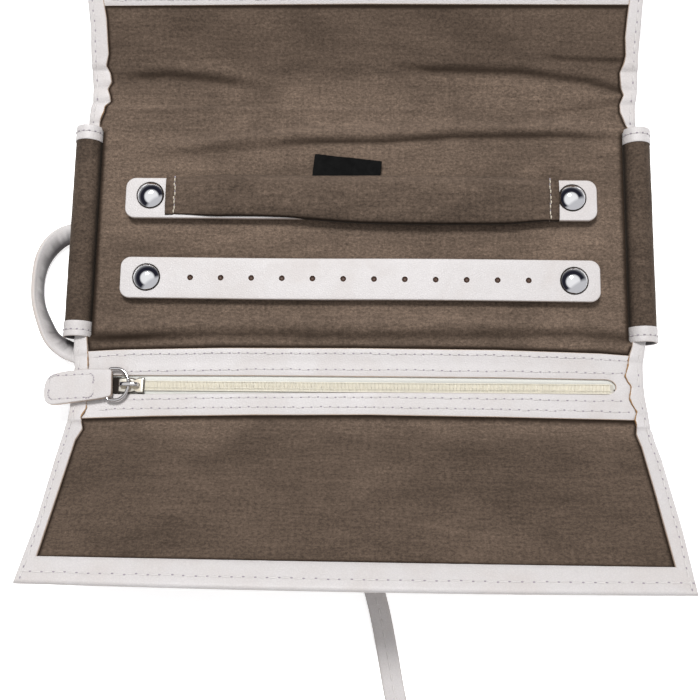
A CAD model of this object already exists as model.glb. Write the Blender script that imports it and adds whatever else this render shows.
import math
import bpy
import bmesh
import numpy as np
from mathutils import Matrix, Vector


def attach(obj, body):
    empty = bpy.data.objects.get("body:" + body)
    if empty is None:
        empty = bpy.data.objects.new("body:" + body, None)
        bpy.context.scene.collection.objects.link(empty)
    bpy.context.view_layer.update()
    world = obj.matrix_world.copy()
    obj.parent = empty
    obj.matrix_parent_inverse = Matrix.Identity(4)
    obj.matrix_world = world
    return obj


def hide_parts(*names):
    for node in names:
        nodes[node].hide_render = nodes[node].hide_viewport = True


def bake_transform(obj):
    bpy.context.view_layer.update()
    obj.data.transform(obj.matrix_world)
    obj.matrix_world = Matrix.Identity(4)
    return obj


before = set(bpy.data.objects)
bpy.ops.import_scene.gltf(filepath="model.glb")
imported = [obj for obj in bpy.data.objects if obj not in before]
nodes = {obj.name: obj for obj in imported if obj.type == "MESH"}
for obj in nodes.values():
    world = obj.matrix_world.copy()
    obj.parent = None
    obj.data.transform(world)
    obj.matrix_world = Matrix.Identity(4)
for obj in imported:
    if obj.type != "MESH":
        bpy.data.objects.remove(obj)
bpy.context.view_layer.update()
MM = 0.001
scene = bpy.context.scene


def link(name, data):
    """A new object of the scene."""
    obj = bpy.data.objects.new(name, data)
    scene.collection.objects.link(obj)
    return obj


# ------------------------------------------------------------------ camera
camera_data = bpy.data.cameras.new("camera")
camera_data.lens, camera_data.sensor_width = 43.71, 36
camera_data.clip_start, camera_data.clip_end = 0.02, 20
camera = link("camera", camera_data)
turned = (Matrix.Rotation(0.172, 3, "Z") @ Matrix.Rotation(0.151, 3, "X")
          @ Matrix.Rotation(-0.159, 3, "Z"))
camera.matrix_world = Matrix.Translation((0.00628, -0.10719, 0.38205)) @ turned.to_4x4()
scene.camera = camera
scene.view_settings.view_transform = "Standard"


# ------------------------------------------------------------------ shader nodes
def put(tree, target, value):
    """Gives a socket a value, a colour or a link."""
    if isinstance(value, bpy.types.NodeSocket):
        tree.links.new(value, target)
    elif isinstance(value, tuple) and len(value) < len(target.default_value):
        target.default_value = (*value, 1)
    else:
        target.default_value = value


def material(name, colour, rough, spec=0.5, **values):
    m = bpy.data.materials.new(name)
    m.use_nodes = True
    b = m.node_tree.nodes["Principled BSDF"]
    values = {"Base_Color": colour, "Roughness": rough, "Specular_IOR_Level": spec,
              "Sheen_Roughness": 0.45, **values}
    for key, value in values.items():
        put(m.node_tree, b.inputs[key.replace("_", " ")], value)
    return m, m.node_tree, b


def add(tree, kind, **values):
    n = tree.nodes.new("ShaderNode" + kind)
    for k, v in values.items():
        if k in n.inputs:
            put(tree, n.inputs[k], v)
        else:
            setattr(n, k, v)
    return n


def attribute(tree, name, output="Fac"):
    return add(tree, "Attribute", attribute_name=name).outputs[output]


def coordinates(tree, flat, scale=None):
    """The piece's own coordinates: along the flattened case, or in its object."""
    source = attribute(tree, "flat", "Vector") if flat else add(tree, "TexCoord").outputs["Object"]
    return add(tree, "Mapping", Vector=source, Scale=scale).outputs["Vector"] if scale else source


def noise(tree, vector, scale, detail=2.0, rough=0.5, distort=0.0):
    return add(tree, "TexNoise", Vector=vector, Scale=scale, Detail=detail,
               Roughness=rough, Distortion=distort).outputs["Fac"]


def wave(tree, vector, axis):
    return add(tree, "TexWave", Vector=vector, Scale=1.0, bands_direction=axis).outputs["Fac"]


def ramp(tree, fac, stops):
    """A colour ramp; a stop's colour is a triple or a grey level."""
    n = add(tree, "ValToRGB", Fac=fac)
    e = n.color_ramp.elements
    while len(e) < len(stops):
        e.new(0.5)
    for item, (position, colour) in zip(e, stops):
        item.position = position
        item.color = (*(colour if isinstance(colour, tuple) else (colour,) * 3), 1)
    return n.outputs["Color"]


def mix(tree, fac, a, b, blend="MIX"):
    n = add(tree, "Mix", data_type="RGBA", blend_type=blend)
    for k, value in ((0, fac), (6, a), (7, b)):
        put(tree, n.inputs[k], value)
    return n.outputs[2]


def maths(tree, op, a, b):
    n = add(tree, "Math", operation=op)
    put(tree, n.inputs[0], a)
    put(tree, n.inputs[1], b)
    return n.outputs[0]


def bumps(tree, bsdf, *layers):
    """Bumps one over another, each a height, a strength and a distance."""
    normal = None
    for height, strength, distance in layers:
        n = add(tree, "Bump", Height=height, Strength=strength, Distance=distance)
        if normal:
            put(tree, n.inputs["Normal"], normal)
        normal = n.outputs["Normal"]
    put(tree, bsdf.inputs["Normal"], normal)


def srgb(r, g, b):
    return tuple(((c / 255 + 0.055) / 1.055) ** 2.4 if c > 10 else c / 255 / 12.92
                 for c in (r, g, b))


def tint(colour, *factors):
    """A colour times one factor, or times one for each channel."""
    return tuple(min(1.0, c * k) for c, k in zip(colour, factors * (3 // len(factors))))


# ------------------------------------------------------------------ materials
def suede(name, colour, flat=True):
    """Napped cloth: broad lay of the nap, fine cross ribs, fibres and specks. The wear
    attribute darkens it where it is above 0 and lightens it where it is below."""
    m, t, b = material(name, colour, 0.95, spec=0.08, Sheen_Weight=0.1, Sheen_Tint=(0.80, 0.70, 0.60))

    def layer(scale, *more):
        return noise(t, coordinates(t, flat, scale), 1.0, *more)
    lay, ribs = layer((16, 30, 30), 5, 0.62, 0.6), layer((60, 640, 640), 3, 0.6, 0.3)
    nap, warp = layer((640, 980, 980), 4, 0.7), layer((900, 70, 200), 2, 0.6)
    speck = noise(t, coordinates(t, flat), 1700, 3, 0.7)
    base = ramp(t, lay, [(0.34, tint(colour, 0.74)), (0.5, colour), (0.66, tint(colour, 1.22))])
    for fac, source, low, high in ((0.5, ribs, 0.68, 1.32), (0.95, nap, 0.50, 1.56),
                                   (0.32, warp, 0.75, 1.25), (0.55, speck, 0.55, 1.45)):
        base = mix(t, fac, base, ramp(t, source, [(0.28, (low, low, low * 0.98)),
                                                  (0.72, (high, high * 0.99, high * 0.97))]), "MULTIPLY")
    worn = attribute(t, "wear")
    base = mix(t, worn, base, tint(colour, 0.14, 0.12, 0.10))
    base = mix(t, maths(t, "MULTIPLY", worn, -1.0), base, tint(colour, 1.9))
    put(t, b.inputs["Base Color"], base)
    bumps(t, b, (lay, 0.2, 0.0012), (nap, 0.45, 0.0003), (ribs, 0.35, 0.0002))
    return m


def leather(name, colour, flat=True):
    """Grained leather. The raw attribute shows its brown cut edge, wear darkens it."""
    m, t, b = material(name, colour, 0.5, spec=0.4, Coat_Weight=0.06, Coat_Roughness=0.35)
    v = coordinates(t, flat)
    cloud, fine = noise(t, v, 45, 4, 0.6, 0.4), noise(t, v, 380, 3, 0.6)
    cells, wrinkles = (add(t, "TexVoronoi", Vector=v, Scale=scale, feature=feature).outputs["Distance"]
                       for scale, feature in ((2100, "F1"), (1000, "DISTANCE_TO_EDGE")))
    warm = tint(colour, 0.965, 0.945, 0.93)
    base = ramp(t, cloud, [(0.32, warm), (0.55, colour), (0.75, tint(colour, 1.02, 1.02, 1.03))])
    base = mix(t, 0.25, base, ramp(t, fine, [(0.3, (0.90, 0.89, 0.88)), (0.65, 1.0)]), "MULTIPLY")
    base = mix(t, 0.26, base, ramp(t, wrinkles, [(0.0, (0.74, 0.73, 0.75)), (0.16, 1.0)]), "MULTIPLY")
    frayed = maths(t, "ADD", maths(t, "MULTIPLY", fine, 1.1), 0.35)
    base = mix(t, maths(t, "MULTIPLY", attribute(t, "raw"), frayed), base, srgb(168, 124, 62))
    base = mix(t, attribute(t, "wear"), base, tint(warm, 0.10, 0.095, 0.10))
    put(t, b.inputs["Base Color"], base)
    put(t, b.inputs["Roughness"], ramp(t, cloud, [(0.3, 0.58), (0.7, 0.44)]))
    bumps(t, b, (cloud, 0.22, 0.0015), (wrinkles, 0.5, 0.0003), (cells, 0.3, 0.0002))
    return m


def metal(name, colour, rough):
    m, t, b = material(name, colour, rough, Metallic=1.0)
    haze = noise(t, coordinates(t, False), 260, 3, 0.6)
    put(t, b.inputs["Roughness"], ramp(t, haze, [(0.3, rough * 0.7), (0.75, rough * 1.7)]))
    bumps(t, b, (noise(t, coordinates(t, False, (300, 5200, 300)), 1.0, 2, 0.6), 0.04, 0.00004))
    return m


def cloth(name, colour, scale, flat=False, sheen=0.15):
    """A plain weave, scale waves to the metre."""
    m, t, b = material(name, colour, 0.85, spec=0.2, Sheen_Weight=sheen)
    v = coordinates(t, flat, (scale,) * 3)
    weave = maths(t, "MULTIPLY", wave(t, v, "X"), wave(t, v, "Y"))
    slub = noise(t, coordinates(t, flat, (60, 500, 200)), 1.0, 3, 0.6)
    base = mix(t, 0.5, colour, ramp(t, weave, [(0.05, tint(colour, 0.72)), (0.6, tint(colour, 1.06))]))
    base = mix(t, 0.3, base, ramp(t, slub, [(0.3, (0.86, 0.85, 0.83)), (0.7, 1.0)]), "MULTIPLY")
    put(t, b.inputs["Base Color"], mix(t, attribute(t, "wear"), base, tint(colour, 0.4)))
    bumps(t, b, (weave, 0.5, 0.00015))
    return m


def satin(name):
    m, t, b = material(name, (0.002,) * 3, 0.6, spec=0.05, Anisotropic=0.6)
    soft = noise(t, coordinates(t, False), 300, 3, 0.6)
    put(t, b.inputs["Base Color"], ramp(t, soft, [(0.3, 0.001), (0.7, 0.004)]))
    bumps(t, b, (wave(t, coordinates(t, False, (900, 60, 60)), "X"), 0.2, 0.00008))
    return m


def plastic(name, colour, rough):
    m, t, b = material(name, colour, rough, spec=0.45)
    soft = noise(t, coordinates(t, False), 500, 3, 0.6)
    put(t, b.inputs["Base Color"], ramp(t, soft, [(0.3, tint(colour, 0.88)), (0.7, colour)]))
    bumps(t, b, (soft, 0.12, 0.0001))
    return m


CREAM = srgb(195, 191, 190)
TAUPE = srgb(94, 81, 72)
M = {
    "suede": suede("suede_taupe", TAUPE),
    "suede_rail": suede("suede_rail", tint(TAUPE, 0.60), flat=False),
    "suede_bar": suede("suede_bar", tint(TAUPE, 0.76), flat=False),
    "leather": leather("leather_cream", CREAM),
    "leather_own": leather("leather_cream_own", CREAM, flat=False),
    "edge": leather("leather_edge", srgb(148, 112, 70), flat=False),
    "hole_wall": leather("hole_wall", srgb(74, 54, 44), flat=False),
    "thread": plastic("thread_cream", srgb(206, 202, 200), 0.6),
    "thread_pale": cloth("thread_pale", srgb(206, 196, 178), 9000),
    "hole": cloth("needle_hole", srgb(158, 150, 158), 4000, sheen=0.0),
    "chrome": metal("chrome", (0.95, 0.95, 0.97), 0.03),
    "steel": metal("steel_wire", (0.66, 0.64, 0.64), 0.06),
    "nickel": metal("slider_nickel", (0.74, 0.70, 0.62), 0.13),
    "dark_metal": metal("dark_metal", (0.05, 0.045, 0.04), 0.35),
    "enamel": plastic("slider_enamel", srgb(206, 196, 176), 0.3),
    "coil": plastic("zip_coil", srgb(222, 216, 200), 0.38),
    "tape": cloth("zip_tape", srgb(226, 226, 220), 5200, flat=True),
    "satin": satin("satin_black"),
    "lining": cloth("pocket_cloth", srgb(84, 73, 64), 3000),
    "board": cloth("board", srgb(150, 135, 115), 900),
    "dark": cloth("dark_opening", srgb(38, 32, 28), 1500, sheen=0.0),
}


# ------------------------------------------------------------------ mesh tools
def turns(n):
    """n angles, evenly round a circle."""
    return np.linspace(0, 2 * np.pi, n, endpoint=False)


def unit(v):
    return v / np.linalg.norm(v, axis=1, keepdims=True)


def arc_length(points):
    """How far along a line of points each of them is."""
    return np.concatenate([[0], np.cumsum(np.linalg.norm(np.diff(points, axis=0), axis=1))])


def follow(there, run, points):
    """The places at the given lengths along a line of points."""
    return np.stack([np.interp(there, run, column) for column in points.T], -1)


def curve_through(points, per=6, closed=False):
    """A smooth curve through points set by hand."""
    p = np.asarray(points, float)
    p = np.concatenate([p[-1:], p, p[:2]] if closed else [p[:1], p, p[-1:]])
    out = [0.5 * (2 * b + (c - a) * t + (2 * a - 5 * b + 4 * c - d) * t * t
                  + (3 * b - a - 3 * c + d) * t ** 3)
           for a, b, c, d in zip(p, p[1:], p[2:], p[3:])
           for t in np.linspace(0, 1, per, endpoint=False)]
    return np.array(out if closed else out + [p[-1]])


def volume(v, faces):
    total = 0.0
    for f in faces:
        f = np.asarray(f)
        for k in range(1, f.shape[1] - 1):
            a, b, c = v[f[:, 0]], v[f[:, k]], v[f[:, k + 1]]
            total += float(np.einsum("ij,ij->i", a, np.cross(b, c)).sum())
    return total


def build(name, verts, faces, mat, flat=None, raw=None, wear=None, sharp=52, orient=True):
    """A mesh piece from points in millimetres and arrays of faces."""
    verts = np.asarray(verts, float)
    faces = [np.asarray(f) for f in faces if len(f)]
    if orient and volume(verts - verts.mean(0), faces) < 0:
        faces = [f[:, ::-1] for f in faces]
    mesh = bpy.data.meshes.new(name)
    mesh.from_pydata((verts * MM).tolist(), [], [tuple(r) for f in faces for r in f.tolist()])
    mesh.polygons.foreach_set("use_smooth", [True] * len(mesh.polygons))
    if sharp:
        mesh.set_sharp_from_angle(angle=math.radians(sharp))
    for key, value in (("flat", flat), ("raw", raw), ("wear", wear)):
        if value is not None:
            vector = key == "flat"
            a = mesh.attributes.new(key, "FLOAT_VECTOR" if vector else "FLOAT", "POINT")
            a.data.foreach_set("vector" if vector else "value",
                               (np.asarray(value, float) * (MM if vector else 1)).ravel())
    mesh.materials.append(M[mat])
    mesh.update()
    return link(name, mesh)


def quads(idx, wrap=False):
    if wrap:
        idx = np.concatenate([idx, idx[:1]], 0)
    return np.stack([idx[:-1, :-1], idx[1:, :-1], idx[1:, 1:], idx[:-1, 1:]], -1).reshape(-1, 4)


def ring_grid(n, m):
    """Numbers of n rings of m points, with each ring's first point again at its end."""
    idx = np.arange(n * m).reshape(n, m)
    return idx, np.concatenate([idx, idx[:, :1]], 1)


def slab_faces(n, m, wrap=False):
    """Faces of a closed plate whose top and bottom are n by m grids."""
    idx = np.arange(n * m).reshape(n, m)
    faces = [quads(idx, wrap), quads(idx + n * m, wrap)[:, ::-1]]
    if wrap:
        sides = [(idx[:, 0], -1), (idx[:, -1], 1)]
    else:
        sides = [(np.concatenate([idx[0, :], idx[1:, -1], idx[-1, -2::-1], idx[-2:0:-1, 0]]), 1)]
    for a, way in sides:
        b = np.roll(a, -1)
        faces.append(np.stack([a, b, b + n * m, a + n * m], -1)[:, ::way])
    return faces


def fix_normals(obj):
    bm = bmesh.new()
    bm.from_mesh(obj.data)
    bmesh.ops.recalc_face_normals(bm, faces=bm.faces)
    bm.to_mesh(obj.data)
    bm.free()
    return obj


def knots(a, b, step, r=0.0, ends=(True, True)):
    """Values from a to b, closer together within r of the chosen ends."""
    out = list(np.linspace(a, b, max(2, int(round(abs(b - a) / step)) + 1)))
    d = 1 if b > a else -1
    if r:
        for f in (0.06, 0.22, 0.5, 0.78, 1.0):
            out += [a + d * r * f] * ends[0] + [b - d * r * f] * ends[1]
    out = np.array(sorted(set(np.round(out, 4)), reverse=d < 0))
    return out[[0] + [i for i in range(1, len(out)) if abs(out[i] - out[i - 1]) > 0.02]]


def drop(d, r):
    """How far a rounded edge of radius r falls at distance d from the edge."""
    d = np.clip(d, 0, r)
    return r - np.sqrt(np.maximum(r * r - (r - d) ** 2, 0))


def smooth(x, a, b):
    t = np.clip((np.asarray(x, float) - a) / (b - a), 0, 1)
    return t * t * (3 - 2 * t)


def span(x, a, b, c, d):
    """Rises from a to b and falls again from c to d."""
    return smooth(x, a, b) * (1 - smooth(x, c, d))


def bell(d, width):
    return np.exp(-(d / width) ** 2)


def squarish(v, power):
    """A cosine or sine whose circle is drawn out towards a square."""
    return np.copysign(np.abs(v) ** power, v)


def wobble(seed, *terms):
    """A gentle fixed unevenness of x and s: terms are (size, wavelength x, wavelength s)."""
    r = np.random.default_rng(seed)
    parts = [(a, r.uniform(0.8, 1.25) * wx, r.uniform(0.8, 1.25) * ws, r.uniform(0, 6.28),
              r.uniform(0, 6.28), r.uniform(-0.5, 0.5)) for a, wx, ws in terms for _ in range(3)]
    return lambda x, s: sum(
        a / 3 * np.sin(6.283 * (x + k * s) / wx + p) * np.sin(6.283 * (s + k * 0.4 * x) / ws + q)
        for a, wx, ws, p, q, k in parts)


# ------------------------------------------------------------------ the case's surface
# x runs to the right and s along the flattened case from the middle of the base,
# towards the back; h is the height over the crease plane. All in millimetres.
FRONT_EDGE, TOP_EDGE = -162.1, 153.7
FRONT_SPLIT, BACK_SPLIT = -67.7, 64.4
CREASE_Z = 9.4


def slope(s):
    s = np.asarray(s, float)
    return np.radians(2 * smooth(s, 50, 56) + 19 * smooth(s, 71.8, 79.8)
                      - 5.5 * smooth(-s, 50, 56) - 30 * smooth(-s, 78.4, 86.4))


def along_slope(f):
    """The running sum of a function of the slope, 0 at the middle of the base."""
    v = f(slope(table_s))
    run = np.concatenate([[0], np.cumsum((v[1:] + v[:-1]) * 0.125)])
    return run - np.interp(0, table_s, run)


table_s = np.arange(-170, 170.01, 0.25)
table_y, table_z = along_slope(np.cos), along_slope(np.sin) + CREASE_Z


def case(x, s, h):
    """The place of flattened coordinates in the row frame, in millimetres."""
    x, s, h = np.broadcast_arrays(np.asarray(x, float), np.asarray(s, float), np.asarray(h, float))
    p = slope(s)
    return np.stack([x, np.interp(s, table_s, table_y) - h * np.sin(p),
                     np.interp(s, table_s, table_z) + h * np.cos(p)], -1)


def on_case(p):
    p = np.asarray(p, float)
    return case(p[..., 0], p[..., 1], p[..., 2])


def at(s):
    return tuple(case(0.0, s, 0.0) * MM)


BLENDS = {
    "front_fold": ("base", "front_spine", at(-49.5), at(-56.5)),
    "panel_fold": ("front_spine", "front_panel", at(-79.4), at(-85.4)),
    "back_fold": ("base", "top_spine", at(49.5), at(56.5)),
    "top_fold": ("top_spine", "top_panel", at(72.3), at(79.3)),
}


def carry(obj, how, slot, *replaced):
    """Ties a piece to a body, or to the two bodies of a fold, and names its finish."""
    if how in BLENDS:
        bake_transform(obj)
    else:
        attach(obj, how)
    if replaced:
        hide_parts(*replaced)
    return obj


def ridge(x, s, path, width, x0, x1, soft):
    """How much of a long fold is at (x, s), 0 to 1. path is pairs of (x, s)."""
    px, ps = zip(*path)
    return bell(s - np.interp(x, px, ps), width) * span(x, x0, x0 + soft, x1 - soft, x1)


uneven = wobble(3, (0.16, 90, 60), (0.07, 30, 26))
# The soft creases of the suede over the base and the back folds: the line, the half
# width, the height, the shade of the nap, where it starts and ends and how softly
FOLDS = [
    ([(-117, 76.4), (-92, 77.8), (-75, 76.5), (-59, 74.7), (-40, 72)], 2.0, -0.8, 0.60, -124, -40,
      26),
    ([(-117, 80), (-92, 81.5), (-70, 80), (-45, 76)], 2.6, 0.5, -0.10, -124, -36, 26),
    ([(-117, 62.4), (0, 62), (20, 62.5)], 0.8, 0.35, -0.16, -124, 30, 10),
    ([(-117, 60), (0, 59.6), (20, 60)], 1.1, -0.2, 0.12, -124, 30, 10),
    ([(-110, 38.5), (-88, 39.7), (-67, 42.3), (-46, 44.3), (-23, 46.4), (12, 46.9), (41, 49),
      (92, 49.8), (119, 48.4)], 2.2, -0.9, 0.42, -122, 140, 60),
    ([(-67, 42.6), (-46, 44.3), (-23, 46.6), (12, 47), (41, 49.3), (92, 50), (119, 48.6)], 1.3,
      -0.5, 0.45, -48, 132, 34),
    ([(-110, 43.5), (-67, 47), (-23, 51), (41, 53.5), (119, 53)], 3.4, 0.7, -0.12, -112, 128, 40),
    ([(10, 82.3), (32, 80.4), (55, 80), (73, 79.6), (89, 77.4), (105, 75.7), (119, 71.6)], 1.9,
      -0.85, 0.62, 8, 150, 26),
    ([(10, 77), (55, 75), (89, 72.5), (119, 67)], 3.0, 0.5, -0.12, 14, 135, 26),
    ([(84, 86.4), (96, 84.9), (110, 84.5), (119, 84.5)], 1.2, -0.6, 0.45, 78, 130, 14),
    ([(74, 59), (92, 61.3), (105, 63.3), (119, 66)], 1.7, -0.6, 0.34, 70, 140, 22),
    ([(20, 68.5), (64, 66.5), (92, 57)], 3.4, 0.4, -0.10, 14, 104, 24),
    ([(-120, -46.2), (-88, -45.2), (-48, -44.2), (0, -44.6), (41, -43.6), (98, -42.6),
      (119, -44.6)], 2.3, -0.7, 0.60, -150, 150, 20),
    ([(-120, -48), (-100, -47), (-80, -46)], 2.6, -0.2, 0.5, -140, -70, 34),
    ([(-116, -40.5), (-48, -38.5), (19, -37.5), (85, -38)], 3.6, 0.6, -0.08, -130, 130, 20),
]


def folds(x, s):
    h = uneven(x, s)
    for path, width, height, _, *reach in FOLDS:
        h = h + height * ridge(x, s, path, width, *reach)
    return np.maximum(h, -0.75 - 3 * (1 - smooth(s, 68, 74)))


def fold_shade(x, s):
    return sum(shade * ridge(x, s, path, width, *reach) for path, width, _, shade, *reach in FOLDS)


def sweep(name, points, mat, closed=False, **more):
    """Joins rings of points, an array of rings by points by 3, into a closed piece. More
    holds its flat, raw and wear values for each point."""
    n, m, _ = points.shape
    idx, ring = ring_grid(n, m)
    faces = [quads(ring, closed)]
    ends = () if closed else (idx[0], idx[-1])
    for k, end in enumerate(ends):
        fan = np.stack([np.full_like(end, n * m + k), end, np.roll(end, -1)], -1)
        faces.append(fan if k else fan[:, ::-1])

    def grow(value):
        value = np.asarray(value, float).reshape(n * m, -1)
        return np.concatenate([value] + [value[end].mean(0, keepdims=True) for end in ends])
    more = {key: grow(value) for key, value in more.items()}
    return fix_normals(build(name, grow(points), faces, mat, **more))


def lathe(name, profile, centre, mat, n):
    """A turned piece round Z: profile is (radius, height) pairs."""
    rings = [[(r * math.cos(t), r * math.sin(t), z) for t in turns(n)] for r, z in profile]
    return sweep(name, np.array(rings) + centre, mat)


# One stitch, which rises from a needle hole and dives into the next: how far along its
# half length, its share of the rise and its share of the width
STITCH = ((-1, -0.5, 0.45), (-0.86, 0.25, 0.85), (-0.5, 0.85, 1), (0, 1, 1), (0.5, 0.85, 1),
          (0.86, 0.25, 0.85), (1, -0.5, 0.45))


def stitches(name, points, up, along, how, length=2.5, width=0.6, rise=0.10, mat="thread",
             holes=True):
    """A row of separate stitches with needle holes between them: their middles, the
    surface's normals and their directions, all n by 3."""
    along = unit(along)
    side = unit(np.cross(up, along))
    one = np.array([[(u * length / 2, math.cos(a) * width / 2 * g,
                      rise * h + math.sin(a) * width * 0.32 * g) for a in turns(6)]
                    for u, h, g in STITCH]).reshape(-1, 3)
    idx, ring = ring_grid(len(STITCH), 6)
    start = np.arange(len(points))[:, None, None] * len(one)
    verts = (points[:, None] + one[:, :1] * along[:, None] + one[:, 1:2] * side[:, None]
             + one[:, 2:] * up[:, None])
    faces = [(quads(ring) + start).reshape(-1, 4),
             (np.array([idx[0][::-1], idx[-1]]) + start).reshape(-1, 6)]
    carry(build(name, verts.reshape(-1, 3), faces, mat, sharp=0), how, "cream_leather")
    if holes:
        needle_holes(name + "_holes", points + along * (length / 2 + 0.42), up, along, side, how)


def needle_holes(name, middle, up, along, side, how):
    a, j = turns(8)[None, :, None], np.arange(8)
    top = (middle[:, None] + along[:, None] * (0.55 * np.cos(a))
           + side[:, None] * (0.32 * np.sin(a)) + up[:, None] * 0.06)
    verts = np.concatenate([top, top - up[:, None] * 0.3], 1).reshape(-1, 3)
    start = np.arange(len(middle))[:, None] * 16
    walls = np.stack([j, j + 8, (j + 1) % 8 + 8, (j + 1) % 8], -1)
    faces = [start + j, start + 15 - j, (start[:, :, None] + walls).reshape(-1, 4)]
    obj = build(name, verts, faces, "hole", sharp=30, orient=False)
    carry(fix_normals(obj), how, "cream_leather")


def row(name, path, height, pitch, how):
    """Stitches along a line of (x, s) pairs on the case, at a height over it."""
    path = np.asarray(path, float)
    run = arc_length(path)
    count = max(2, int(round(run[-1] / pitch)))
    t = (np.arange(count) + 0.5) * run[-1] / count
    r = np.random.default_rng(len(name) + count)
    dx, ds = unit(follow(t + 0.8, run, path) - follow(t - 0.8, run, path)).T
    x, s = (place + r.normal(0, 0.12, count) for place in follow(t, run, path).T)
    h = height(x, s)
    p = case(x, s, h)
    stitches(name, p, case(x, s, h + 1) - p, case(x + dx, s + ds, height(x + dx, s + ds)) - p, how,
             length=run[-1] / count - 1.25)


# ------------------------------------------------------------------ the tie (a flat cord)
# The middle of its section in the row frame and its roll in degrees
tie_route = [(-74, 4, 2, 0), (-90, 4, 1.9, 0), (-108, 4, 1.4, 0), (-122, 4, 1.4, 0),
             (-133, 3.5, 1.6, 2), (-140, -1, 3.7, 34), (-145, -9, 4.7, 64), (-147, -19, 4.8, 80),
             (-146.3, -30, 4.8, 78), (-142.8, -39.5, 4.7, 66), (-138.8, -46.8, 4.3, 50),
             (-133, -51.3, 3, 20), (-127.5, -53.5, 1.6, 4), (-117, -57.5, 1.4, 0),
             (-100, -63, 1.4, 0), (-82, -69, 1.4, 0), (-64, -76, 1.4, 0), (-46, -85, 1.4, 0),
             (-29, -97, 1.4, 0), (-14, -112, 1.4, 0), (-3, -128, 1.4, 0), (5, -145, 1.4, 0),
             (10.5, -163, 1.4, 0), (14.5, -182, 1.4, 0), (18.5, -202, 1.4, 0), (25, -221, 1.4, 0),
             (36, -238, 1.4, 0), (51, -251, 1.4, 0), (69, -260, 1.4, 0), (88, -264, 1.4, 0)]
tie = curve_through(tie_route)
tie_centre = tie[:, :3]
tie_along = unit(np.gradient(tie_centre, axis=0))
level = unit(np.cross(tie_along, [0, 0, 1]))
upright = np.cross(level, tie_along)
roll = np.radians(tie[:, 3:])
tie_across = level * np.cos(roll) + upright * np.sin(roll)
tie_out = upright * np.cos(roll) - level * np.sin(roll)
tie_run = arc_length(tie_centre)
run = tie_run[:, None]
# Its section: rounded edges, and a shallow groove along the middle of both faces
wide = 4.45 * squarish(np.cos(turns(28)), 0.35)
thick = 1.22 * squarish(np.sin(turns(28)), 0.6)
thick -= 0.16 * bell(wide, 0.5) * np.sign(thick)
tie_rings = (tie_centre[:, None] + wide[:, None] * tie_across[:, None]
             + thick[:, None] * tie_out[:, None])
edge_tint = np.clip((np.abs(wide) - 4.0) / 0.5, 0, 1) * 0.18 + 0 * run
# The flesh side of the leather is dark where the tie stands on edge in its loop
ragged = 0.5 * np.sin(run * 0.7) + 0.35 * np.sin(run * 1.9 + 1)
in_loop = (span(run, 40, 52, 140, 156) * smooth(thick, -0.3, 0.2)
           * np.clip(0.45 - (wide + ragged) / 3.4, 0, 1))
near_panel = (0.62 * bell(tie_centre[:, 1:2] + 219, 9) * smooth(run, 200, 240)
              * (0.6 + 0.4 * bell(wide, 2.4)))
tail_edge = 0.5 * np.clip((np.abs(wide) - 4.1) / 0.35, 0, 1) * smooth(run, 250, 290)
tie_piece = sweep("tie_strap_leather", tie_rings, "leather",
                  flat=np.stack(np.broadcast_arrays(run, wide, thick), -1), raw=edge_tint,
                  wear=np.maximum.reduce([in_loop, near_panel, tail_edge]))
carry(tie_piece, "base", "cream_leather", "tie_strap")
for tag, sign in (("outer", 1), ("inner", -1)):
    even = np.arange(6, tie_run[-1] - 3, 4.6)
    even = even[(even < 52) | (even > 140) | (sign < 0)]
    stitches("tie_stitches_" + tag, follow(even, tie_run, tie_centre + sign * tie_out * 1.02),
             follow(even, tie_run, sign * tie_out), follow(even, tie_run, tie_along), "base",
             length=3.4, width=0.8, holes=False)


# ------------------------------------------------------------------ suede and leather skins
def limits(points):
    """A line through (s, x) or (x, s) pairs."""
    p = np.array(sorted(points), float)
    return lambda v: np.interp(v, p[:, 0], p[:, 1])


def slab(name, x, s, high, low, mat, wrap=False, **more):
    """A closed skin on the case between two heights over a grid of x and s."""
    flat = np.concatenate([np.stack(np.broadcast_arrays(x, s, h), -1).reshape(-1, 3)
                           for h in (high, low)])
    more = {key: np.tile(value.ravel(), 2) for key, value in more.items()}
    return fix_normals(build(name, on_case(flat), slab_faces(*x.shape, wrap), mat, flat=flat, **more))


def merged(values, *more):
    values = np.concatenate([values, *more])
    values = np.array(sorted(set(np.round(values, 3)) | {values.min(), values.max()}))
    return values[np.concatenate([[True], np.diff(values) > 0.04])]


def panel(name, half, s0, s1, top, thick, how, slot, mat, replaced, shape=None, step=1.5,
          r=0.4, ends=(True, True), wear=None, fine=()):
    """A skin lying on the case from s0 to s1, as wide as half, a number or a function of s,
    on both sides. Its grid is finer beside its side edges and in the fine spans of s."""
    us, ss = knots(-125, 125, step * 1.4, r), knots(s0, s1, step, r, ends)
    if fine:
        us = merged(us, np.arange(-124, -114, 0.4), np.arange(114.2, 124, 0.4))
        ss = merged(ss, *(np.arange(a, b, 0.3) for a, b in fine))
    u, s = np.meshgrid(us / 125, ss, indexing="ij")
    side = half(s) if callable(half) else half
    x = u * side
    h = top + (shape(x, s) if shape else 0 * x)
    edge = (1 - np.abs(u)) * side
    for end, rounded in zip((s0, s1), ends):
        if rounded:
            edge = np.minimum(edge, np.abs(s - end))
    more = {"wear": wear(x, s)} if wear else {}
    return carry(slab(name, x, s, h - drop(edge, r), h - thick, mat, **more), how, slot, *replaced)


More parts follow.
